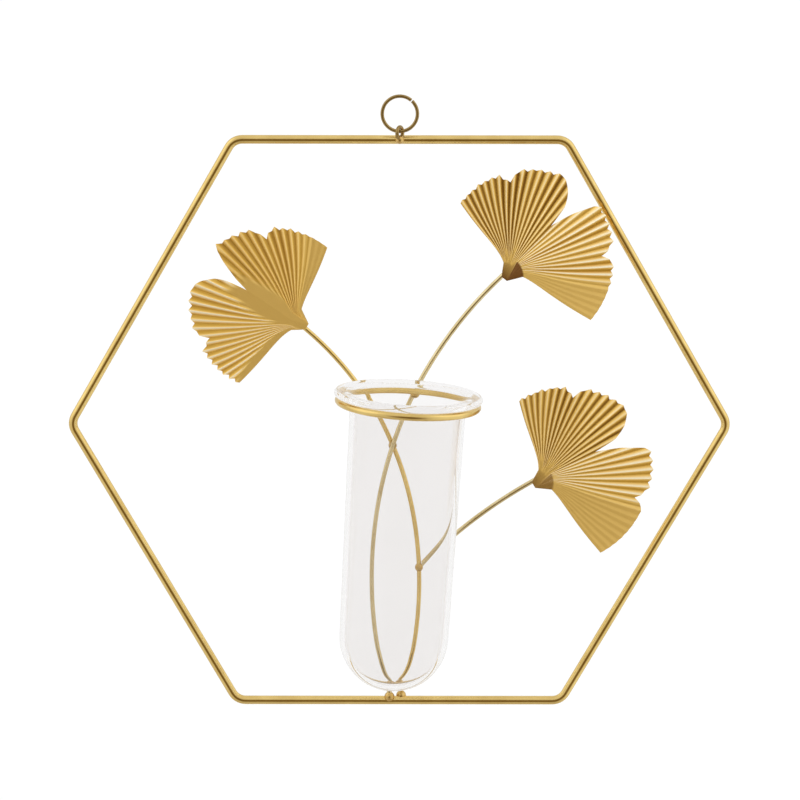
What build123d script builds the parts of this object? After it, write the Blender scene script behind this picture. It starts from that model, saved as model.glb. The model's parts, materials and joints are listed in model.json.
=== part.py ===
"""Hanging wall vase: a hexagon of bent wire that carries a glass tube and three pleated ginkgo leaves.

Millimetres, +Z up, +X to the viewer's right, +Y towards the wall. The origin is the centre of the
hanging ring, where the nail goes through.
"""

from build123d import *
from math import asin, atan2, cos, degrees, exp, hypot, radians, sin, sqrt, tan
import os

os.makedirs("parts", exist_ok=True)

# Hexagon frame, measured along the centreline of its wire
frame_across_corners = 300.0
frame_wire = 4.0
frame_bend_radius = 7.0

# Hanging ring: a jump ring, closed up to a narrow seam at its upper right
ring_diameter = 15.8
ring_wire = 1.6
ring_seam = 0.5
ring_seam_angle = 48.0

# Eyelet: a teardrop of wire on the front of the top wire, turned so that the ring lies flat
eyelet_wire = 1.7
eyelet_radius = 2.6
eyelet_half_angle = 48.0
eyelet_tip_radius = 1.2
eyelet_turn = 62.0
eyelet_tip_rise = 0.2

# Stems: bent from the foot upwards, heights counted from the centreline of the bottom wire
stem_wire = 2.2
foot_seat = 0.8
foot_stub = 2.8
foot_bend_radius = 6.0
left_foot_x = 1.0
left_foot_turn = 29.0
left_ankle_radius = 40.0
left_ankle_turn = 16.5
left_lower_bow_radius = 174.0
left_lower_bow_turn = 26.0
left_upper_bow_radius = 148.0
left_upper_bow_turn = 36.0
upper_foot_x = -4.4
upper_foot_turn = 30.0
upper_ankle_radius = 20.0
upper_ankle_turn = 15.5
upper_bow_radius = 191.0
upper_bow_turn = 61.0
branch_height = 63.0
branch_heading = 46.3
branch_radius = 224.0
branch_turn = 16.6

# Collar that carries the vase, brazed to the upper leaf's stem a little way behind it
collar_wire = 3.2
collar_height = 146.0
collar_stem_offset = 3.6
collar_stand_off = 1.0
vase_lean = 3.3
vase_tilt = 1.4

# Glass tube: tapered wall, round bottom, flared and rounded lip
vase_neck_radius = 25.9
vase_base_radius = 24.6
vase_wall = 2.2
vase_drop = 132.0
vase_flare_drop = 4.0
lip_radius = 33.3
lip_height = 3.0
lip_mouth_radius = 29.6
lip_neck_fillet = 3.0

# Ginkgo leaf, stamped from sheet: radii are measured from the stem's bow, angles from the midrib,
# and shares run from the midrib (0) to the outer edge of a lobe (1)
sheet = 0.6
leaf_length = 57.0
leaf_upper_length = 55.5
leaf_left_corner = 38.5
leaf_right_corner = 44.0
leaf_far_corner = 39.5
leaf_rim_power = 1.3
leaf_left_spread = 74.0
leaf_right_spread = 72.0
leaf_spread_radius = 9.5
leaf_left_heel = 1.6
leaf_left_heel_rise = 2.0
leaf_right_heel = 2.9
leaf_right_heel_rise = 0.3
leaf_left_neck = 6.5
leaf_right_neck = 9.5
leaf_lap = 7.0
leaf_pleats = 17
leaf_pleat_height = 1.7
leaf_faint_pleat_height = 0.45
leaf_faint_share = 0.55
leaf_fade_share = 0.12
leaf_tooth = 0.8
leaf_cleft_radius = 32.0
leaf_left_cleft_share = 0.17
leaf_right_cleft_share = 0.13
leaf_left_cleft_power = 0.45
leaf_right_cleft_power = 1.0
leaf_notch_depth = 5.0
leaf_notch_share = 0.07
leaf_left_notch_at = 0.54
leaf_right_notch_at = 0.465
leaf_left_fold = 3.0
leaf_right_fold = 9.0
leaf_cup = 3.0
leaf_left_turn = 6.6
leaf_upper_turn = 3.0
leaf_lower_turn = -3.2
leaf_stations = (0.0, 0.1, 0.25, 0.5, 0.75, 1.0)

# Clearances and braze beads
hang_clearance = 0.3
seat_clearance = 0.3
collar_clearance = 0.6
braze_film = 0.24
bead_clearance = 0.1
foot_bead = 2.3
joint_bead = 2.0
collar_bead = 2.4
collar_bead_drop = 1.2
eyelet_bead = 2.0

# Places that follow from the sizes above
ring_radius = ring_diameter / 2
limb = radians(eyelet_half_angle)
frame_y = frame_wire / 2 + eyelet_wire / 2
eyelet_center_z = -ring_radius + ring_wire / 2 + hang_clearance + eyelet_wire / 2 - eyelet_radius
eyelet_tip_center = (eyelet_tip_radius - eyelet_radius) / sin(limb)
top_wire_z = eyelet_center_z + eyelet_tip_center - eyelet_tip_radius - eyelet_tip_rise
frame_side = frame_across_corners / 2
frame_center_z = top_wire_z - frame_side * sqrt(3) / 2
bottom_wire_z = frame_center_z - frame_side * sqrt(3) / 2
stem_step = stem_wire / 2 + braze_film / 2
front_stem_y = frame_y - stem_step
back_stem_y = frame_y + stem_step
collar_radius = vase_neck_radius + lip_neck_fillet + collar_clearance + collar_wire / 2


def wire_rod(path, diameter):
    """Sweep a round wire along a drawn path, into the part being built."""
    route = path.wire()
    with BuildSketch(Plane(origin=route @ 0, z_dir=route % 0)) as section:
        Circle(diameter / 2)
    sweep(section.sketch, path=route)


def share_at(path, height):
    """Share of a rising path's length at which it reaches one height."""
    route = path.wire()
    low, high = 0.0, 1.0
    for _ in range(50):
        middle = (low + high) / 2
        if (route @ middle).Z < height:
            low = middle
        else:
            high = middle
    return low


def at_height(path, height):
    """Point of a rising path at one height."""
    return path.wire() @ share_at(path, height)


def crossing(path, other, low, high):
    """Point, halfway between two rising paths, where they cross as seen from the front."""
    side = at_height(path, low).X > at_height(other, low).X
    for _ in range(50):
        middle = (low + high) / 2
        if (at_height(path, middle).X > at_height(other, middle).X) == side:
            low = middle
        else:
            high = middle
    return (at_height(path, low) + at_height(other, low)) / 2


def bead(center, radius, *neighbours):
    """Braze bead: a ball of filler that gives way to the pieces it joins."""
    with Locations(center):
        Sphere(radius)
    for neighbour in neighbours:
        add(neighbour.part, mode=Mode.SUBTRACT)


def wire_seat(path, height, diameter, length):
    """Room for a wire, straight over a short length and with a clearance around it, cut from a bead."""
    route, share = path.wire(), share_at(path, height)
    with Locations(Plane(origin=route @ share, z_dir=route % share)):
        Cylinder(diameter / 2 + bead_clearance, length, mode=Mode.SUBTRACT)


def pleat_height(line):
    """Full height of the pleats at one fold line: they fade towards the right lobe's outer edge."""
    share = abs(line) / (2 * leaf_pleats)
    faded = min(1.0, max(0.0, (share - leaf_faint_share) / leaf_fade_share)) if line < 0 else 0.0
    return leaf_pleat_height + (leaf_faint_pleat_height - leaf_pleat_height) * faded


def rim_radius(line, length, right_corner):
    """Length of one fold line of a leaf: lines are counted from the midrib, positive in the left lobe."""
    share = abs(line) / (2 * leaf_pleats)
    corner = leaf_left_corner if line > 0 else right_corner
    rim = length - (length - corner) * share**leaf_rim_power
    cleft = leaf_left_cleft_share if line > 0 else leaf_right_cleft_share
    if share < cleft:
        power = leaf_left_cleft_power if line > 0 else leaf_right_cleft_power
        return leaf_cleft_radius + (rim - leaf_cleft_radius) * (share / cleft) ** power
    notch_at = leaf_left_notch_at if line > 0 else leaf_right_notch_at
    rim -= leaf_notch_depth * max(0.0, 1 - abs(share - notch_at) / leaf_notch_share)
    if share < 1:
        tooth = leaf_tooth * pleat_height(line) / leaf_pleat_height
        rim += tooth if line % 2 else -tooth
    return rim


def pleated_leaf(base, heading, stem_y, length, right_corner):
    """Solid of one leaf: ridges and valleys fan out from a flat heel and grow towards the rim."""
    last = 2 * leaf_pleats
    face_y = stem_y - stem_wire / 2 - braze_film - sheet
    turn = radians(heading)

    def point(line, radius, depth):
        spread = leaf_left_spread if line > 0 else leaf_right_spread
        fold = leaf_left_fold if line > 0 else leaf_right_fold
        grown = 1 - exp(-radius / leaf_spread_radius)
        angle = radians(spread * grown * line / last)
        lift = radius * abs(sin(angle)) * tan(radians(fold))
        lift += leaf_cup * (radius / length) ** 2
        lift += pleat_height(line) * grown * radius / length * (0.5 if line % 2 else -0.5)
        return Vector(
            base.X + radius * cos(turn + angle),
            face_y - lift + depth,
            base.Z + radius * sin(turn + angle),
        )

    def heel(rise, reach, fold, depth):
        return Vector(
            base.X + rise * cos(turn) + reach * sin(turn),
            face_y - abs(reach) * tan(radians(fold)) + depth,
            base.Z + rise * sin(turn) - reach * cos(turn),
        )

    def side(depth):
        root = heel(0.0, 0.0, 0.0, depth)
        right_heel = heel(leaf_right_heel_rise, leaf_right_heel, leaf_right_fold, depth)
        left_heel = heel(leaf_left_heel_rise, -leaf_left_heel, leaf_left_fold, depth)
        lines = {}
        for line in range(-last, last + 1):
            neck = leaf_right_neck if line < 0 else leaf_left_neck
            rim = rim_radius(line, length, right_corner)
            lines[line] = [point(line, neck + (rim - neck) * s, depth) for s in leaf_stations]
        edge = [right_heel] + lines[-last][:-1]
        edge += [lines[line][-1] for line in range(-last, last + 1)]
        edge += lines[last][-2::-1] + [left_heel, root]
        triangles = [(root, right_heel, lines[0][0]), (root, lines[0][0], left_heel)]
        for line in range(-last, last):
            near, far = lines[line], lines[line + 1]
            triangles.append((right_heel if line < 0 else left_heel, near[0], far[0]))
            for j in range(len(leaf_stations) - 1):
                triangles.append((near[j], near[j + 1], far[j + 1]))
                triangles.append((near[j], far[j + 1], far[j]))
        return triangles, edge

    front, front_edge = side(0.0)
    back, back_edge = side(sheet)
    faces = [Face(Wire.make_polygon(corners)) for corners in front + back]
    for i, start in enumerate(front_edge):
        faces.append(Face(Wire.make_polygon([start, front_edge[i - 1], back_edge[i - 1], back_edge[i]])))
    return Solid(Shell(faces))


# Hanging ring
with BuildPart() as hanging_ring:
    seam_turn = degrees(ring_seam / ring_radius)
    with BuildLine(Plane.XZ) as ring_path:
        CenterArc((0, 0), ring_radius, ring_seam_angle + seam_turn / 2, 360 - seam_turn)
    wire_rod(ring_path, ring_wire)
hanging_ring.part.label = "hanging_ring"
export_step(hanging_ring.part, "parts/hanging_ring.step")

# Hexagon frame: one wire, bent at six corners and welded end to end
with BuildPart() as hexagon_frame:
    with BuildLine(Plane.XZ.offset(-frame_y)) as frame_path:
        corners = []
        for i in range(6):
            bearing = radians(60 * i)
            corners.append((frame_side * cos(bearing), frame_center_z + frame_side * sin(bearing)))
        FilletPolyline(*corners, radius=frame_bend_radius, close=True)
    wire_rod(frame_path, frame_wire)
hexagon_frame.part.label = "hexagon_frame"
export_step(hexagon_frame.part, "parts/hexagon_frame.step")

# Eyelet: round above, its two limbs closing to a tip that is filed to seat on the top wire
swing = radians(eyelet_turn)
eyelet_plane = Plane(
    origin=(0, 0, eyelet_center_z),
    x_dir=(cos(swing), sin(swing), 0),
    z_dir=(sin(swing), -cos(swing), 0),
)
with BuildPart() as eyelet:
    with BuildLine(eyelet_plane) as eyelet_path:
        top = CenterArc((0, 0), eyelet_radius, -eyelet_half_angle, 180 + 2 * eyelet_half_angle)
        tip = CenterArc(
            (0, eyelet_tip_center), eyelet_tip_radius, 180 + eyelet_half_angle, 180 - 2 * eyelet_half_angle
        )
        Line(top @ 1, tip @ 0)
        Line(tip @ 1, top @ 0)
    wire_rod(eyelet_path, eyelet_wire)
    add(hexagon_frame.part, mode=Mode.SUBTRACT)
eyelet.part.label = "eyelet"
export_step(eyelet.part, "parts/eyelet.step")

# Stem of the left leaf: bows out to the right and passes behind the other stem
with BuildPart() as stem_left:
    with BuildLine(Plane.XZ.offset(-back_stem_y)) as left_path:
        foot = Line(
            (left_foot_x, bottom_wire_z + foot_seat), (left_foot_x, bottom_wire_z + foot_seat + foot_stub)
        )
        bend = JernArc(foot @ 1, foot % 1, foot_bend_radius, -left_foot_turn)
        ankle = JernArc(bend @ 1, bend % 1, left_ankle_radius, left_ankle_turn)
        lower_bow = JernArc(ankle @ 1, ankle % 1, left_lower_bow_radius, left_lower_bow_turn)
        left_bow = JernArc(lower_bow @ 1, lower_bow % 1, left_upper_bow_radius, left_upper_bow_turn)
        Line(left_bow @ 1, (left_bow @ 1) + (left_bow % 1) * leaf_lap)
    wire_rod(left_path, stem_wire)
    add(hexagon_frame.part, mode=Mode.SUBTRACT)
stem_left.part.label = "stem_left"
export_step(stem_left.part, "parts/stem_left.step")

# Stem of the upper leaf: bows out to the left, crosses in front, and carries the collar
with BuildPart() as stem_upper:
    with BuildLine(Plane.XZ.offset(-front_stem_y)) as upper_path:
        foot = Line(
            (upper_foot_x, bottom_wire_z + foot_seat), (upper_foot_x, bottom_wire_z + foot_seat + foot_stub)
        )
        bend = JernArc(foot @ 1, foot % 1, foot_bend_radius, upper_foot_turn)
        ankle = JernArc(bend @ 1, bend % 1, upper_ankle_radius, -upper_ankle_turn)
        upper_bow = JernArc(ankle @ 1, ankle % 1, upper_bow_radius, -upper_bow_turn)
        Line(upper_bow @ 1, (upper_bow @ 1) + (upper_bow % 1) * leaf_lap)
    wire_rod(upper_path, stem_wire)
    add(hexagon_frame.part, mode=Mode.SUBTRACT)
stem_upper.part.label = "stem_upper"
export_step(stem_upper.part, "parts/stem_upper.step")

# Stem of the lower leaf: branches off the left leaf's stem, mitred to lie against its side
branch_share = share_at(left_path, bottom_wire_z + branch_height)
branch_point = left_path.wire() @ branch_share
branch_side = (left_path.wire() % branch_share).cross(Vector(0, -1, 0))
with BuildPart() as stem_lower:
    with BuildLine(Plane.XZ.offset(-back_stem_y)) as lower_path:
        rise = (cos(radians(branch_heading)), sin(radians(branch_heading)))
        lower_bow = JernArc((branch_point.X, branch_point.Z), rise, branch_radius, -branch_turn)
        Line(lower_bow @ 1, (lower_bow @ 1) + (lower_bow % 1) * leaf_lap)
    wire_rod(lower_path, stem_wire)
    mitre = Plane(origin=branch_point + branch_side * (stem_wire / 2 + braze_film), z_dir=branch_side)
    split(bisect_by=mitre, keep=Keep.TOP)
stem_lower.part.label = "stem_lower"
export_step(stem_lower.part, "parts/stem_lower.step")

# Collar and vase share one leaning axis, set off from the stem that carries them
weld_point = at_height(upper_path, bottom_wire_z + collar_height)
vase_axis = Vector(tan(radians(vase_lean)), -tan(radians(vase_tilt)), 1).normalized()
vase_right = Vector(1, 0, -tan(radians(vase_lean))).normalized()
vase_back = vase_axis.cross(vase_right)
stem_reach = collar_radius + collar_wire / 2 + collar_stand_off + stem_wire / 2
stem_way = vase_right * collar_stem_offset + vase_back * sqrt(stem_reach**2 - collar_stem_offset**2)
collar_center = weld_point - stem_way
collar_plane = Plane(origin=collar_center, x_dir=vase_right, z_dir=vase_axis)

with BuildPart(collar_plane) as collar_ring:
    Torus(collar_radius, collar_wire / 2)
collar_ring.part.label = "collar_ring"
export_step(collar_ring.part, "parts/collar_ring.step")

# Glass vase: its lip rests on the collar, its tapered wall runs down into a round bottom
lip_seat = collar_wire / 2 + seat_clearance
lip_top = lip_seat + lip_height
lip_edge = lip_radius - lip_height / 2
neck_z = lip_seat - lip_neck_fillet
ball_z = vase_base_radius - vase_drop
taper = atan2(vase_neck_radius, neck_z - ball_z) - asin(
    vase_base_radius / hypot(vase_neck_radius, neck_z - ball_z)
)
bore_radius = vase_base_radius - vase_wall
bore_neck = vase_neck_radius - vase_wall * cos(taper) - vase_flare_drop * tan(taper)
with BuildPart() as glass_vase:
    with BuildSketch(Plane(origin=collar_center, x_dir=vase_right, z_dir=-vase_back)):
        with BuildLine():
            outer = CenterArc((0, ball_z), vase_base_radius, -90, 90 - degrees(taper))
            wall = Line(outer @ 1, (vase_neck_radius, neck_z))
            neck = RadiusArc(
                wall @ 1, (vase_neck_radius + lip_neck_fillet, lip_seat), lip_neck_fillet
            )
            under = Line(neck @ 1, (lip_edge, lip_seat))
            ThreePointArc(under @ 1, (lip_radius, lip_seat + lip_height / 2), (lip_edge, lip_top))
            top = Line((lip_edge, lip_top), (lip_mouth_radius, lip_top))
            inner = CenterArc((0, ball_z), bore_radius, -90, 90 - degrees(taper))
            bore = Line(inner @ 1, (bore_neck, neck_z - vase_flare_drop))
            TangentArc(bore @ 1, top @ 1, tangent=bore % 1)
            Line(outer @ 0, inner @ 0)
        make_face()
    revolve(axis=Axis(collar_center, vase_axis))
glass_vase.part.label = "glass_vase"
export_step(glass_vase.part, "parts/glass_vase.step")

# Leaves, each lapped on the front of its stem's end
left_heading = degrees(atan2((left_bow % 1).Z, (left_bow % 1).X)) + leaf_left_turn
with BuildPart() as leaf_left:
    add(pleated_leaf(left_bow @ 1, left_heading, back_stem_y, leaf_length, leaf_far_corner))
leaf_left.part.label = "leaf_left"
export_step(leaf_left.part, "parts/leaf_left.step")

upper_heading = degrees(atan2((upper_bow % 1).Z, (upper_bow % 1).X)) + leaf_upper_turn
with BuildPart() as leaf_upper:
    add(pleated_leaf(upper_bow @ 1, upper_heading, front_stem_y, leaf_upper_length, leaf_right_corner))
leaf_upper.part.label = "leaf_upper"
export_step(leaf_upper.part, "parts/leaf_upper.step")

lower_heading = degrees(atan2((lower_bow % 1).Z, (lower_bow % 1).X)) + leaf_lower_turn
with BuildPart() as leaf_lower:
    add(pleated_leaf(lower_bow @ 1, lower_heading, back_stem_y, leaf_length, leaf_right_corner))
leaf_lower.part.label = "leaf_lower"
export_step(leaf_lower.part, "parts/leaf_lower.step")

# Braze beads
eyelet_tip_z = top_wire_z + eyelet_tip_rise
with BuildPart() as braze_eyelet:
    bead((0, 0, eyelet_tip_z), eyelet_bead, hexagon_frame, eyelet)
braze_eyelet.part.label = "braze_eyelet"
export_step(braze_eyelet.part, "parts/braze_eyelet.step")

foot_z = bottom_wire_z + frame_wire / 2
with BuildPart() as braze_foot_left:
    bead((upper_foot_x, front_stem_y, foot_z), foot_bead, hexagon_frame, stem_upper)
braze_foot_left.part.label = "braze_foot_left"
export_step(braze_foot_left.part, "parts/braze_foot_left.step")

with BuildPart() as braze_foot_right:
    bead((left_foot_x, back_stem_y, foot_z), foot_bead, hexagon_frame, stem_left)
braze_foot_right.part.label = "braze_foot_right"
export_step(braze_foot_right.part, "parts/braze_foot_right.step")

cross_point = crossing(left_path, upper_path, bottom_wire_z + branch_height, bottom_wire_z + collar_height)
with BuildPart() as braze_crossing:
    bead(cross_point, joint_bead)
    for path in (left_path, upper_path):
        wire_seat(path, cross_point.Z, stem_wire, 4 * joint_bead)
braze_crossing.part.label = "braze_crossing"
export_step(braze_crossing.part, "parts/braze_crossing.step")

with BuildPart() as braze_branch:
    bead(branch_point, joint_bead, stem_left, stem_lower)
braze_branch.part.label = "braze_branch"
export_step(braze_branch.part, "parts/braze_branch.step")

bead_reach = (collar_radius + collar_wire / 2 + collar_stand_off / 2) / stem_reach
with BuildPart() as braze_collar:
    bead(
        collar_center + stem_way * bead_reach - vase_axis * collar_bead_drop,
        collar_bead,
        collar_ring,
        stem_upper,
    )
braze_collar.part.label = "braze_collar"
export_step(braze_collar.part, "parts/braze_collar.step")
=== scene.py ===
"""Looks of the hanging wall vase: gold wire, pleated ginkgo leaves and a clear glass tube.

Metres, in the part's own frame: +X to the viewer's right, +Y towards the wall, +Z up. Named angles are in degrees.
"""

import json
from math import asin, atan2, cos, degrees, exp, floor, hypot, pi, radians, sin, tan
from typing import NamedTuple

import bpy
import numpy as np
from mathutils import Matrix, Vector


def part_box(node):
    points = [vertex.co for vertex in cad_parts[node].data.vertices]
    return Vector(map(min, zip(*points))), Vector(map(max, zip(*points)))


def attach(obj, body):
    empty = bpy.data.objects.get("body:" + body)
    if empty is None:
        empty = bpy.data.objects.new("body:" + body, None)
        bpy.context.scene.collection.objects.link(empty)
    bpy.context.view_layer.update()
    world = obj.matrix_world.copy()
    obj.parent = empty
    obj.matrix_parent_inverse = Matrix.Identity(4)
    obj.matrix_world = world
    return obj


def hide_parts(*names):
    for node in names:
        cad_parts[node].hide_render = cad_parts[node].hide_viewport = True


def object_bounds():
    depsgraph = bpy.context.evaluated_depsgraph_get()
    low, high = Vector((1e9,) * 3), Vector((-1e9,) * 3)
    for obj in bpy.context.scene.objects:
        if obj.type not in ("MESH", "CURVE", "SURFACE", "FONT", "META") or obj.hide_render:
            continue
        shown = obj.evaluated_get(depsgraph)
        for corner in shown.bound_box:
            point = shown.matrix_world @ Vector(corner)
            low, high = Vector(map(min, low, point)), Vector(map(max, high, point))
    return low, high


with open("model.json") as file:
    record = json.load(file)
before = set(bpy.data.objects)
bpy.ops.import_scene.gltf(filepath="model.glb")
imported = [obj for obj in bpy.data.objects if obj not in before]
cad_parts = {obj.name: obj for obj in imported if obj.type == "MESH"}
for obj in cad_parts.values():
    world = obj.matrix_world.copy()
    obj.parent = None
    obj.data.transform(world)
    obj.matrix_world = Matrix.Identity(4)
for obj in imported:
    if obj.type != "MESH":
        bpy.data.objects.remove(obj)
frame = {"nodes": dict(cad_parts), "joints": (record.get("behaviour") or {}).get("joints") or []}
nodes = frame["nodes"]
cad_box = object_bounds()

MM = 0.001


class Finish(NamedTuple):
    """Unevenness of a metal surface: its noise's scales, its range of roughness, its dents' strength and depth."""
    gloss_scale: float
    roughness: tuple
    dent_scale: float
    dent_strength: float
    dent_depth: float


class Lobe(NamedTuple):
    """One lobe of a leaf: its shares run from the midrib (0) to the lobe's outer edge (1)."""
    spread: float
    fold: float
    neck: float
    heel: float
    heel_rise: float
    cleft_share: float
    cleft_power: float
    notch_at: float


# Camera, set off from the middle of the hexagon
CAMERA_OFFSET = Vector((-2.335, -1500.0, 264.244)) * MM
CAMERA_YAW = 0.1
CAMERA_PITCH = -9.583
CAMERA_ROLL = 0.092
CAMERA_REACH = 100.0
FOCAL_PIXELS = 3335.2
IMAGE_PIXELS = 800
SENSOR = 36.0

# Stage
WHITE = (1.0, 1.0, 1.0)
FLOOR_DROP = 120 * MM
FLOOR_SIZE = 60.0
FLOOR_SHADE = 0.8
FLOOR_CLOUDING = 0.005
FLOOR_CLOUD_SCALE = 3.0
FLOOR_GLOW = 0.25
ROOM_LIGHT = (0.84, 0.84, 0.84)
DEEPEST_SHADE = (0.1, 0.06, 0.02)

# Patches of light and shade in the room: middle, angles from it at which the fading starts and ends, colour added
LIGHT_PATCHES = (
    ((0.0, -0.2, 1.0), 25, 55, (0.06, 0.06, 0.06)),
    ((-0.85, -0.15, 0.5), 15, 42, (0.42, 0.44, 0.46)),
    ((0.85, -0.15, 0.5), 15, 42, (0.40, 0.42, 0.44)),
    ((0.85, -0.15, -0.5), 15, 42, (0.15, 0.16, 0.17)),
    ((0.0, -0.2, -1.0), 20, 50, (-0.2, -0.22, -0.24)),
    ((0.0, -1.0, -0.2), 12, 40, (-0.64, -0.71, -0.81)),
)

# Turns that light may take inside the glass before it is given up
GLASS_BOUNCES = 256

# Wire and braze: a darker and a lighter tone, between which the plating is clouded
TONE_STOPS = (0.3, 0.7)
GOLD_TONES = ((0.71, 0.50, 0.17), (0.84, 0.62, 0.23))
PALE_TONES = ((0.64, 0.51, 0.26), (0.80, 0.67, 0.39))
BROWN_TONES = ((0.28, 0.18, 0.06), (0.42, 0.29, 0.11))
BRAZE_TONES = ((0.50, 0.30, 0.08), (0.76, 0.53, 0.20))
WIRE_CLOUD_SCALE = 90.0
BRAZE_CLOUD_SCALE = 500.0
WIRE_FINISH = Finish(
    gloss_scale=420.0, roughness=(0.14, 0.26), dent_scale=900.0, dent_strength=0.12, dent_depth=0.2 * MM,
)
BRAZE_FINISH = Finish(
    gloss_scale=800.0, roughness=(0.2, 0.4), dent_scale=1500.0, dent_strength=0.35, dent_depth=0.3 * MM,
)

# Leaf sheet: colours over a tone of painted light and shade, which is 0 for the deepest brown of painted shade and
# 1 for the palest gold of a painted highlight
SHEET_COLOURS = (
    (0.0, (0.20, 0.08, 0.0)),
    (0.4, (0.68, 0.40, 0.06)),
    (0.7, (0.94, 0.63, 0.18)),
    (1.0, (1.0, 0.90, 0.66)),
)
# Brown of the painted shade at the heel and along the neck
SHEET_SHADE_BROWN = (0.22, 0.09, 0.015)
SHEET_METALLIC = 0.55
SHEET_FINISH = Finish(
    gloss_scale=600.0, roughness=(0.26, 0.38), dent_scale=1400.0, dent_strength=0.15, dent_depth=0.2 * MM,
)

# Painted light and shade over one pleat, from valley (0) over ridge (1) to valley (2), and the plain tone where
# the sheet is flat
PAINTED_LIGHT_AT = (0.0, 0.5, 0.8, 1.0, 1.2, 1.6, 2.0)
PAINTED_LIGHT_DEEP = (0.02, 0.05, 0.35, 0.8, 0.88, 0.62, 0.02)
PAINTED_LIGHT_SOFT = (0.2, 0.2, 0.4, 0.74, 0.78, 0.6, 0.2)
PAINTED_LIGHT_BRIGHT = (0.32, 0.32, 0.6, 1.0, 1.0, 0.75, 0.32)
PLATING_FLAT = 0.64
# Power by which the painted light and shade fade on fainter pleats
FAINT_PAINTED_LIGHT_POWER = 0.9

# Leaf, as the solids have it: radii are measured from the stem's bow
SHEET = 0.6 * MM
BRAZE_FILM = 0.24 * MM
LEAF_LENGTH = 57.0 * MM
LEAF_UPPER_LENGTH = 55.5 * MM
LEAF_LEFT_CORNER = 38.5 * MM
LEAF_RIGHT_CORNER = 44.0 * MM
LEAF_FAR_CORNER = 39.5 * MM
LEAF_RIM_POWER = 1.3
LEAF_SPREAD_RADIUS = 9.5 * MM
LEAF_LAP = 7.0 * MM
LEAF_PLEATS = 17
LEAF_PLEAT_HEIGHT = 1.7 * MM
LEAF_FADE_SHARE = 0.12
LEAF_TOOTH = 0.8 * MM
LEAF_CLEFT_RADIUS = 32.0 * MM
LEAF_NOTCH_DEPTH = 5.0 * MM
LEAF_NOTCH_SHARE = 0.07
LEAF_CUP = 3.0 * MM
LEFT_LOBE = Lobe(
    spread=74.0, fold=3.0, neck=6.5 * MM, heel=1.6 * MM, heel_rise=2.0 * MM,
    cleft_share=0.17, cleft_power=0.45, notch_at=0.54,
)
RIGHT_LOBE = Lobe(
    spread=72.0, fold=9.0, neck=9.5 * MM, heel=2.9 * MM, heel_rise=0.3 * MM,
    cleft_share=0.13, cleft_power=1.0, notch_at=0.465,
)

# Finer relief than the solids': rounded ridges of uneven size and start, uneven teeth, fainter faint pleats
LEAF_FAINT_PLEAT_HEIGHT = 0.14 * MM
RIDGE_ROUND = 0.3
RIDGE_SIZES = (0.78, 1.0)
RIDGE_DELAY = 7.0 * MM
RIDGE_DELAY_POWER = 2
RIDGE_RUN_UP = 5.0 * MM
RIDGE_ONSET = 5.0 * MM
TOOTH_SIZES = (0.4, 1.3)

# Ridges of the left leaf start late along its midrib and at its left lobe's outer edge
LATE_ONSET = 34.0 * MM
LATE_ONSET_SHARE = 0.1
LATE_ONSET_FALL = 90.0 * MM
EDGE_ONSET_SHARE = 0.72
EDGE_ONSET_RISE = 150.0 * MM

# Painted shade at the heel's middle, right corner and left corner, and along the neck to the left of a line
HEEL_SHADE_SHARES = (1.0, 1.0, 0.8)
HEEL_POINTS = len(HEEL_SHADE_SHARES)
NECK_SHADE_SHARE = 0.35
NECK_SHADE_LINE = -1.5

# Fineness of the leaf's mesh: steps from one fold line to the next, and rings that crowd towards the neck
LAST_LINE = 2 * LEAF_PLEATS
FOLD_STEPS = (0.0, 0.12, 0.35, 0.65, 0.88)
RINGS = 22
RING_POWER = 1.3
SHARP_ANGLE = 40

# Depth within which a stem's points belong to its flat end
END_DEPTH = 0.01 * MM

# Glass: its outside as the solids have it, with the lip a hair inside theirs, and its bore flaring out nearer
# to the lip
VASE_NECK_RADIUS = 25.9 * MM
VASE_BASE_RADIUS = 24.6 * MM
VASE_WALL = 2.2 * MM
VASE_DROP = 132.0 * MM
VASE_FLARE_DROP = 0.3 * MM
LIP_RADIUS = 33.25 * MM
LIP_HEIGHT = 3.0 * MM
LIP_MOUTH_RADIUS = 29.6 * MM
LIP_NECK_FILLET = 3.0 * MM
LIP_SEAT = 1.9 * MM
GLASS_SIDES = 160
BALL_STEPS = 28
FILLET_STEPS = 8
LIP_STEPS = 20
GLASS_TINT = (0.915, 0.903, 0.896)
GLASS_IOR = 1.22
GLASS_WAVE_SCALE = 14.0
GLASS_WAVE_STRETCH = (1, 1, 0.25)
GLASS_WAVE_STRENGTH = 0.05
GLASS_WAVE_DEPTH = 1.0 * MM


def new_material(name):
    """Node material with a principled shader."""
    material = bpy.data.materials.new(name)
    material.use_nodes = True
    tree = material.node_tree
    return material, tree, tree.nodes["Principled BSDF"]


def noise(tree, scale, detail=3.0, stretch=(1, 1, 1)):
    """Noise over the object's own coordinates, drawn out along an axis by a small stretch."""
    place = tree.nodes.new("ShaderNodeTexCoord")
    mapping = tree.nodes.new("ShaderNodeMapping")
    mapping.inputs["Scale"].default_value = stretch
    texture = tree.nodes.new("ShaderNodeTexNoise")
    texture.inputs["Scale"].default_value = scale
    texture.inputs["Detail"].default_value = detail
    tree.links.new(place.outputs["Object"], mapping.inputs["Vector"])
    tree.links.new(mapping.outputs["Vector"], texture.inputs["Vector"])
    return texture.outputs["Fac"]


def attribute(tree, name):
    """Value that a mesh carries at its points."""
    node = tree.nodes.new("ShaderNodeAttribute")
    node.attribute_name = name
    return node.outputs["Fac"]


def ramp(tree, value, stops):
    """Colour ramp over a value; stops are (position, colour)."""
    node = tree.nodes.new("ShaderNodeValToRGB")
    elements = node.color_ramp.elements
    while len(elements) < len(stops):
        elements.new(1.0)
    for element, (position, colour) in zip(elements, stops):
        element.position = position
        element.color = (*colour, 1.0)
    tree.links.new(value, node.inputs["Fac"])
    return node.outputs["Color"]


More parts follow.
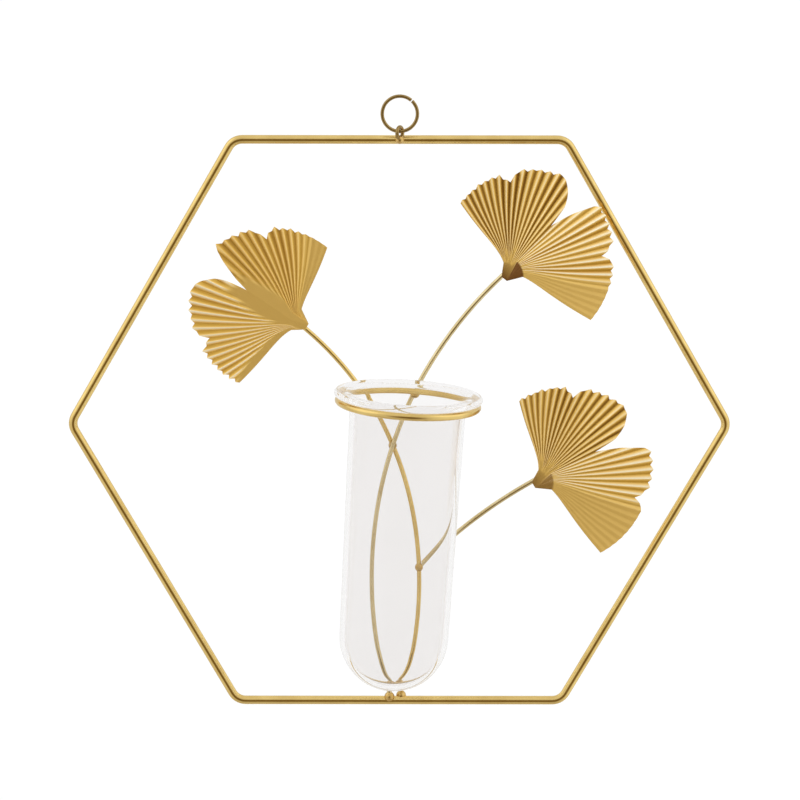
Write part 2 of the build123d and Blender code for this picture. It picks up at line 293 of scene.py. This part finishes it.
def spread(tree, value, low, high):
    """Value mapped from 0..1 to low..high."""
    node = tree.nodes.new("ShaderNodeMapRange")
    node.inputs["To Min"].default_value = low
    node.inputs["To Max"].default_value = high
    tree.links.new(value, node.inputs["Value"])
    return node.outputs["Result"]


def bump(tree, shader, height, strength, distance):
    """Bump from a height value."""
    node = tree.nodes.new("ShaderNodeBump")
    node.inputs["Strength"].default_value = strength
    node.inputs["Distance"].default_value = distance
    tree.links.new(height, node.inputs["Height"])
    tree.links.new(node.outputs["Normal"], shader.inputs["Normal"])


def finish_metal(tree, shader, finish):
    """Uneven gloss and tiny dents."""
    gloss = noise(tree, finish.gloss_scale)
    tree.links.new(spread(tree, gloss, *finish.roughness), shader.inputs["Roughness"])
    dents = noise(tree, finish.dent_scale, detail=2.0)
    bump(tree, shader, dents, finish.dent_strength, finish.dent_depth)


def plated_material(name, tones, cloud_scale, finish):
    """Plated metal, clouded between two tones."""
    material, tree, shader = new_material(name)
    shader.inputs["Metallic"].default_value = 1.0
    colour = ramp(tree, noise(tree, cloud_scale), tuple(zip(TONE_STOPS, tones)))
    tree.links.new(colour, shader.inputs["Base Color"])
    finish_metal(tree, shader, finish)
    return material


def sheet_material():
    """Satin gold sheet with painted shade in the valleys, painted highlights along the ridges, and painted shade
    at the heel and neck.
    """
    material, tree, shader = new_material("gold_sheet")
    shader.inputs["Metallic"].default_value = SHEET_METALLIC
    mix = tree.nodes.new("ShaderNodeMix")
    mix.data_type = "RGBA"
    mix.inputs["B"].default_value = (*SHEET_SHADE_BROWN, 1.0)
    # Painted shade at the heel and neck, mixed in over the pleats' colours
    tree.links.new(attribute(tree, "painted_heel_shade"), mix.inputs["Factor"])
    # Painted light and shade of the pleats, read from the fold attribute
    tree.links.new(ramp(tree, attribute(tree, "fold"), SHEET_COLOURS), mix.inputs["A"])
    tree.links.new(mix.outputs["Result"], shader.inputs["Base Color"])
    finish_metal(tree, shader, SHEET_FINISH)
    return material


def glass_material():
    """Clear drawn glass with a trace of unevenness."""
    material, tree, shader = new_material("clear_glass")
    shader.inputs["Base Color"].default_value = (*GLASS_TINT, 1.0)
    shader.inputs["Transmission Weight"].default_value = 1.0
    shader.inputs["Roughness"].default_value = 0.0
    shader.inputs["IOR"].default_value = GLASS_IOR
    waves = noise(tree, GLASS_WAVE_SCALE, detail=1.0, stretch=GLASS_WAVE_STRETCH)
    bump(tree, shader, waves, GLASS_WAVE_STRENGTH, GLASS_WAVE_DEPTH)
    return material


def floor_material():
    """Plain pale floor."""
    material, tree, shader = new_material("pale_floor")
    stops = ((0.4, [FLOOR_SHADE - FLOOR_CLOUDING] * 3), (0.6, [FLOOR_SHADE + FLOOR_CLOUDING] * 3))
    tree.links.new(ramp(tree, noise(tree, FLOOR_CLOUD_SCALE), stops), shader.inputs["Base Color"])
    shader.inputs["Roughness"].default_value = 1.0
    shader.inputs["Specular IOR Level"].default_value = 0.0
    shader.inputs["Emission Color"].default_value = (*WHITE, 1.0)
    shader.inputs["Emission Strength"].default_value = FLOOR_GLOW
    return material


def mesh_piece(name, points, faces, material):
    """Smooth-shaded mesh object."""
    mesh = bpy.data.meshes.new(name)
    mesh.from_pydata([tuple(p) for p in points], [], faces)
    mesh.validate()
    mesh.shade_smooth()
    mesh.materials.append(material)
    piece = bpy.data.objects.new(name, mesh)
    bpy.context.scene.collection.objects.link(piece)
    return piece


def stem_end(stem, heading):
    """Centre of the flat end of a stem that runs out in a heading."""
    way = np.array((cos(heading), 0.0, sin(heading)))
    points = np.array([v.co for v in nodes[stem].data.vertices])
    along = points @ way
    return Vector(points[along > along.max() - END_DEPTH].mean(0))


def even_onset(share):
    """Ridges that start near the neck."""
    return RIDGE_ONSET


def late_onset(share):
    """Ridges that start late along the midrib, and again at the left lobe's outer edge."""
    inner = LATE_ONSET - LATE_ONSET_FALL * max(0.0, abs(share) - LATE_ONSET_SHARE)
    return max(inner, EDGE_ONSET_RISE * (share - EDGE_ONSET_SHARE))


def lobe_at(line):
    """Lobe in which a line lies."""
    return RIGHT_LOBE if line < 0 else LEFT_LOBE


def wave_at(line):
    """Height of the fold at a line: 1 along the ridges, 0 along the valleys."""
    part = line % 2
    part = part if part < 1 else 2 - part
    return (1 - RIDGE_ROUND) * part + RIDGE_ROUND * (0.5 - 0.5 * cos(pi * part))


class Leaf:
    """Form, and painted light and shade, of a leaf that fans out from a flat heel, its narrow ridges rising
    towards a toothed rim.

    Its fold lines are counted from the midrib, positive in the left lobe, and the odd ones are ridges.
    onset gives the radius at which the ridges start, for a line's signed share of its lobe. From faint_share on,
    those of the right lobe are faint. The tones are painted light and shade over a pleat, one table for each lobe.
    """

    def __init__(
        self, stem, stem_heading, turn, length, right_corner,
        onset, faint_share, left_tones, right_painted_light, seed,
    ):
        heading = radians(stem_heading)
        self.base = stem_end(stem, heading) - Vector((cos(heading), 0, sin(heading))) * LEAF_LAP
        self.axis = heading + radians(turn)
        self.face_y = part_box(stem)[0].y - BRAZE_FILM - SHEET
        self.length, self.right_corner = length, right_corner
        self.onset, self.faint_share = onset, faint_share
        self.left_tones, self.right_painted_light = left_tones, right_painted_light
        chance = np.random.default_rng(seed)
        self.ridge_size = chance.uniform(*RIDGE_SIZES, 2 * LAST_LINE + 2)
        self.ridge_delay = chance.uniform(0.0, 1.0, 2 * LAST_LINE + 2) ** RIDGE_DELAY_POWER * RIDGE_DELAY
        self.tooth_size = chance.uniform(*TOOTH_SIZES, 2 * LAST_LINE + 1)

    def pleat_height(self, line):
        """Full height of the pleats at one line: they fade towards the right lobe's outer edge."""
        faded = (abs(line) / LAST_LINE - self.faint_share) / LEAF_FADE_SHARE if line < 0 else 0.0
        faded = min(1.0, max(0.0, faded))
        return LEAF_PLEAT_HEIGHT + (LEAF_FAINT_PLEAT_HEIGHT - LEAF_PLEAT_HEIGHT) * faded

    def risen(self, line, radius):
        """How far the ridge near a line has risen, from 0 to 1."""
        ridge = 2 * floor(line / 2) + 1 + LAST_LINE
        start = self.onset(line / LAST_LINE) + self.ridge_delay[ridge]
        return self.ridge_size[ridge] * min(1.0, max(0.0, (radius - start) / RIDGE_RUN_UP))

    def painted_light(self, line, radius):
        """Painted light and shade: painted shade on a ridge's lee side, a painted highlight along its crest, the
        plain tone on flat sheet.
        """
        tone = float(np.interp(line % 2, PAINTED_LIGHT_AT, self.left_tones if line > 0 else self.right_painted_light))
        # The painted light and shade fade where a ridge has not yet risen and where the pleats are faint
        shown = self.risen(line, radius) * (self.pleat_height(line) / LEAF_PLEAT_HEIGHT) ** FAINT_PAINTED_LIGHT_POWER
        return PLATING_FLAT + (tone - PLATING_FLAT) * shown

    def fold_length(self, line):
        """Radius at which one fold line ends."""
        share, lobe = abs(line) / LAST_LINE, lobe_at(line)
        corner = self.right_corner if line < 0 else LEAF_LEFT_CORNER
        rim = self.length - (self.length - corner) * share**LEAF_RIM_POWER
        if share < lobe.cleft_share:
            return LEAF_CLEFT_RADIUS + (rim - LEAF_CLEFT_RADIUS) * (share / lobe.cleft_share) ** lobe.cleft_power
        rim -= LEAF_NOTCH_DEPTH * max(0.0, 1 - abs(share - lobe.notch_at) / LEAF_NOTCH_SHARE)
        if share < 1:
            tooth = LEAF_TOOTH * self.tooth_size[line + LAST_LINE] * self.pleat_height(line) / LEAF_PLEAT_HEIGHT
            rim += tooth if line % 2 else -tooth
        return rim

    def rim_radius(self, line):
        """Radius of the rim at a line, straight between the fold lines beside it."""
        low = floor(line)
        share = line - low
        return self.fold_length(low) * (1 - share) + self.fold_length(min(low + 1, LAST_LINE)) * share

    def point(self, line, radius):
        """Point of the leaf's front, at a radius along a line."""
        lobe = lobe_at(line)
        grown = 1 - exp(-radius / LEAF_SPREAD_RADIUS)
        angle = radians(lobe.spread * grown * line / LAST_LINE)
        lift = radius * abs(sin(angle)) * tan(radians(lobe.fold)) + LEAF_CUP * (radius / self.length) ** 2
        relief = wave_at(line) * self.risen(line, radius) - 0.5
        lift += self.pleat_height(line) * grown * radius / self.length * relief
        angle += self.axis
        return Vector((self.base.x + radius * cos(angle), self.face_y - lift, self.base.z + radius * sin(angle)))

    def heel_point(self, rise, reach, fold):
        """Point of the flat heel, which rises along the midrib and reaches to the right."""
        x = self.base.x + rise * cos(self.axis) + reach * sin(self.axis)
        z = self.base.z + rise * sin(self.axis) - reach * cos(self.axis)
        return Vector((x, self.face_y - abs(reach) * tan(radians(fold)), z))


def leaf_faces(columns, count):
    """Faces of a leaf's sheet: its front over the first count points, its back over the rest, and its edge."""
    width = RINGS + 1

    def at(column, ring):
        return HEEL_POINTS + column * width + ring

    middle, end = columns.index(0), len(columns) - 1
    front = [(0, 1, at(middle, 0)), (0, at(middle, 0), 2)]
    for c in range(end):
        front.append((1 if c < middle else 2, at(c, 0), at(c + 1, 0)))
        front += [(at(c, r), at(c, r + 1), at(c + 1, r + 1), at(c + 1, r)) for r in range(RINGS)]
    edge = [1] + [at(0, r) for r in range(width)] + [at(c, RINGS) for c in range(1, end)]
    edge += [at(end, r) for r in reversed(range(width))] + [2, 0]
    faces = front + [tuple(count + i for i in reversed(face)) for face in front]
    for before, after in zip([edge[-1], *edge], edge):
        faces.append((after, before, count + before, count + after))
    return faces


def pleated_leaf(name, node, leaf, painted_heel_shade, material):
    """One leaf in place of its node, with painted shade at the heel and along the neck."""
    columns = [low + step for low in range(-LAST_LINE, LAST_LINE) for step in FOLD_STEPS] + [LAST_LINE]
    points = [
        leaf.heel_point(0, 0, 0),
        leaf.heel_point(RIGHT_LOBE.heel_rise, RIGHT_LOBE.heel, RIGHT_LOBE.fold),
        leaf.heel_point(LEFT_LOBE.heel_rise, -LEFT_LOBE.heel, LEFT_LOBE.fold),
    ]
    painted_light_tones = [PLATING_FLAT] * HEEL_POINTS
    # Painted shade at the heel's points, and below along the neck's first ring: full on the right, a share of it
    # to the left of a line
    heel_shade_values = [painted_heel_shade * share for share in HEEL_SHADE_SHARES]
    for line in columns:
        neck, rim = lobe_at(line).neck, leaf.rim_radius(line)
        for ring in range(RINGS + 1):
            radius = neck + (rim - neck) * (ring / RINGS) ** RING_POWER
            points.append(leaf.point(line, radius))
            # Tone of painted light and shade at this point
            painted_light_tones.append(leaf.painted_light(line, radius))
        heel_shade_values += [painted_heel_shade * (NECK_SHADE_SHARE if line > NECK_SHADE_LINE else 1.0)] + [0.0] * RINGS
    faces = leaf_faces(columns, len(points))
    back = Vector((0, SHEET, 0))
    piece = mesh_piece(name, points + [p + back for p in points], faces, material)
    # Painted light and shade of the pleats, and painted shade at the heel and neck, kept as attributes of the
    # points
    for layer_name, values in (("fold", painted_light_tones), ("painted_heel_shade", heel_shade_values)):
        layer = piece.data.attributes.new(layer_name, "FLOAT", "POINT")
        layer.data.foreach_set("value", values * 2)
    piece.data.set_sharp_from_angle(angle=radians(SHARP_ANGLE))
    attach(piece, "frame")
    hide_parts(node)


def arc(center, radius, start, end, steps):
    """Points of an arc in the glass's profile."""
    points = []
    for i in range(steps + 1):
        angle = radians(start + (end - start) * i / steps)
        points.append((center[0] + radius * cos(angle), center[1] + radius * sin(angle)))
    return points


def glass_profile():
    """Half section of the glass as (radius, height), from the bottom's outside over the lip to its inside."""
    neck_z = LIP_SEAT - LIP_NECK_FILLET
    ball_z = VASE_BASE_RADIUS - VASE_DROP
    flare_z = neck_z - VASE_FLARE_DROP
    lip_top = LIP_SEAT + LIP_HEIGHT
    lip_edge = LIP_RADIUS - LIP_HEIGHT / 2
    reach = hypot(VASE_NECK_RADIUS, neck_z - ball_z)
    taper = atan2(VASE_NECK_RADIUS, neck_z - ball_z) - asin(VASE_BASE_RADIUS / reach)
    bore = VASE_NECK_RADIUS - VASE_WALL * cos(taper) - VASE_FLARE_DROP * tan(taper)
    run, rise = LIP_MOUTH_RADIUS - bore, lip_top - flare_z
    bend = (run**2 + rise**2) / (2 * run)
    sweep = degrees(asin(rise / bend))
    profile = arc((0, ball_z), VASE_BASE_RADIUS, -90, -degrees(taper), BALL_STEPS)
    profile += arc((VASE_NECK_RADIUS + LIP_NECK_FILLET, neck_z), LIP_NECK_FILLET, 180, 90, FILLET_STEPS)
    profile += arc((lip_edge, LIP_SEAT + LIP_HEIGHT / 2), LIP_HEIGHT / 2, -90, 90, LIP_STEPS)
    profile += arc((bore + bend, flare_z), bend, 180 - sweep, 180, LIP_STEPS)
    profile += arc((0, ball_z), VASE_BASE_RADIUS - VASE_WALL, -degrees(taper), -90, BALL_STEPS)
    return profile


def glass_piece(material):
    """The glass tube, turned about the vase's axis."""
    joint = next(j for j in frame["joints"] if j["name"] == "vase_lift")
    axis = Vector(joint["axis"]).normalized()
    low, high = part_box("collar_ring")
    center = (low + high) / 2
    right = Vector((1, 0, -axis.x / axis.z)).normalized()
    rear = axis.cross(right)
    profile = glass_profile()
    inner = profile[1:-1]
    points = [center + axis * profile[0][1], center + axis * profile[-1][1]]
    for side in range(GLASS_SIDES):
        angle = 2 * pi * side / GLASS_SIDES
        way = right * cos(angle) + rear * sin(angle)
        points += [center + way * r + axis * z for r, z in inner]
    size = len(inner)
    faces = []
    for side in range(GLASS_SIDES):
        a, b = 2 + side * size, 2 + (side + 1) % GLASS_SIDES * size
        faces.append((0, b, a))
        faces += [(a + i, b + i, b + i + 1, a + i + 1) for i in range(size - 1)]
        faces.append((a + size - 1, b + size - 1, 1))
    piece = mesh_piece("glass_tube", points, faces, material)
    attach(piece, "vase")
    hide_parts("glass_vase")


def dress_nodes(material, *names):
    """Gives CAD nodes a material and smooth shading."""
    for name in names:
        mesh = nodes[name].data
        mesh.materials.clear()
        mesh.materials.append(material)
        mesh.shade_smooth()


def make_camera():
    """Camera that sees the hexagon as the photograph does."""
    low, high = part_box("hexagon_frame")
    yaw, pitch, roll = radians(CAMERA_YAW), radians(CAMERA_PITCH), radians(CAMERA_ROLL)
    ahead = Vector((sin(yaw) * cos(pitch), cos(yaw) * cos(pitch), sin(pitch)))
    level = Vector((cos(yaw), -sin(yaw), 0))
    above = level.cross(ahead)
    right = level * cos(roll) + above * sin(roll)
    up = above * cos(roll) - level * sin(roll)
    data = bpy.data.cameras.new("camera")
    data.sensor_width = SENSOR
    data.lens = SENSOR * FOCAL_PIXELS / IMAGE_PIXELS
    data.clip_end = CAMERA_REACH
    camera = bpy.data.objects.new("camera", data)
    bpy.context.scene.collection.objects.link(camera)
    turn = Matrix((right, up, -ahead)).transposed().to_4x4()
    camera.matrix_world = Matrix.Translation((low + high) / 2 + CAMERA_OFFSET) @ turn
    bpy.context.scene.camera = camera


def make_floor():
    """Pale floor well below the object."""
    level = cad_box[0].z - FLOOR_DROP
    half = FLOOR_SIZE / 2
    points = [(-half, -half, level), (half, -half, level), (half, half, level), (-half, half, level)]
    floor_piece = mesh_piece("floor", points, [(0, 1, 2, 3)], floor_material())
    floor_piece.visible_glossy = False


def make_world():
    """Soft studio surroundings with lighter and darker patches, plain white where seen, also through the glass."""
    world = bpy.data.worlds.new("studio")
    bpy.context.scene.world = world
    world.use_nodes = True
    tree = world.node_tree
    place = tree.nodes.new("ShaderNodeTexCoord")

    def vector_math(operation, *values):
        node = tree.nodes.new("ShaderNodeVectorMath")
        node.operation = operation
        for socket, value in zip(node.inputs, values):
            if isinstance(value, tuple):
                socket.default_value = value
            else:
                tree.links.new(value, socket)
        return node

    light = ROOM_LIGHT
    for way, fade_start, fade_end, added in LIGHT_PATCHES:
        middle = tuple(Vector(way).normalized())
        toward = vector_math("DOT_PRODUCT", place.outputs["Generated"], middle).outputs["Value"]
        fade = tree.nodes.new("ShaderNodeMapRange")
        fade.interpolation_type = "SMOOTHSTEP"
        fade.inputs["From Min"].default_value = cos(radians(fade_end))
        fade.inputs["From Max"].default_value = cos(radians(fade_start))
        tree.links.new(toward, fade.inputs["Value"])
        light = vector_math("MULTIPLY_ADD", fade.outputs["Result"], added, light).outputs["Vector"]
    light = vector_math("MAXIMUM", light, DEEPEST_SHADE).outputs["Vector"]
    path = tree.nodes.new("ShaderNodeLightPath")
    seen = vector_math("MAXIMUM", path.outputs["Is Camera Ray"], path.outputs["Is Transmission Ray"])
    plain = tree.nodes.new("ShaderNodeMix")
    plain.data_type = "VECTOR"
    plain.factor_mode = "NON_UNIFORM"
    plain.inputs["B"].default_value = WHITE
    tree.links.new(seen.outputs["Vector"], plain.inputs["Factor"])
    tree.links.new(light, plain.inputs["A"])
    tree.links.new(plain.outputs["Result"], tree.nodes["Background"].inputs["Color"])


def set_light_paths():
    """Colours shown as they are, and light that finds its way out of the glass."""
    scene = bpy.context.scene
    scene.view_settings.view_transform = "Standard"
    scene.cycles.max_bounces = GLASS_BOUNCES
    scene.cycles.glossy_bounces = GLASS_BOUNCES
    scene.cycles.transmission_bounces = GLASS_BOUNCES


gold_wire = plated_material("gold_wire", GOLD_TONES, WIRE_CLOUD_SCALE, WIRE_FINISH)
pale_wire = plated_material("pale_wire", PALE_TONES, WIRE_CLOUD_SCALE, WIRE_FINISH)
brown_wire = plated_material("brown_wire", BROWN_TONES, WIRE_CLOUD_SCALE, WIRE_FINISH)
braze = plated_material("braze", BRAZE_TONES, BRAZE_CLOUD_SCALE, BRAZE_FINISH)
gold_sheet = sheet_material()

dress_nodes(gold_wire, "hexagon_frame", "stem_left", "collar_ring")
dress_nodes(pale_wire, "stem_upper", "stem_lower")
dress_nodes(brown_wire, "hanging_ring", "eyelet")
dress_nodes(
    braze,
    "braze_eyelet", "braze_foot_left", "braze_foot_right", "braze_crossing", "braze_branch", "braze_collar",
)

# Leaves, each lobe with its own table of painted light and shade over the pleats
left_leaf = Leaf(
    "stem_left", stem_heading=139.5, turn=6.6, length=LEAF_LENGTH, right_corner=LEAF_FAR_CORNER,
    onset=late_onset, faint_share=0.75, left_tones=PAINTED_LIGHT_BRIGHT, right_painted_light=PAINTED_LIGHT_SOFT, seed=3,
)
upper_leaf = Leaf(
    "stem_upper", stem_heading=43.5, turn=3.0, length=LEAF_UPPER_LENGTH, right_corner=LEAF_RIGHT_CORNER,
    onset=even_onset, faint_share=0.62, left_tones=PAINTED_LIGHT_DEEP, right_painted_light=PAINTED_LIGHT_BRIGHT, seed=5,
)
lower_leaf = Leaf(
    "stem_lower", stem_heading=29.7, turn=-3.2, length=LEAF_LENGTH, right_corner=LEAF_RIGHT_CORNER,
    onset=even_onset, faint_share=0.45, left_tones=PAINTED_LIGHT_DEEP, right_painted_light=PAINTED_LIGHT_BRIGHT, seed=8,
)
# Each leaf's share of painted shade at the heel and neck: none on the left leaf
pleated_leaf("ginkgo_left", "leaf_left", left_leaf, painted_heel_shade=0.0, material=gold_sheet)
pleated_leaf("ginkgo_upper", "leaf_upper", upper_leaf, painted_heel_shade=1.0, material=gold_sheet)
pleated_leaf("ginkgo_lower", "leaf_lower", lower_leaf, painted_heel_shade=0.7, material=gold_sheet)
glass_piece(glass_material())

make_floor()
make_world()
make_camera()
set_light_paths()
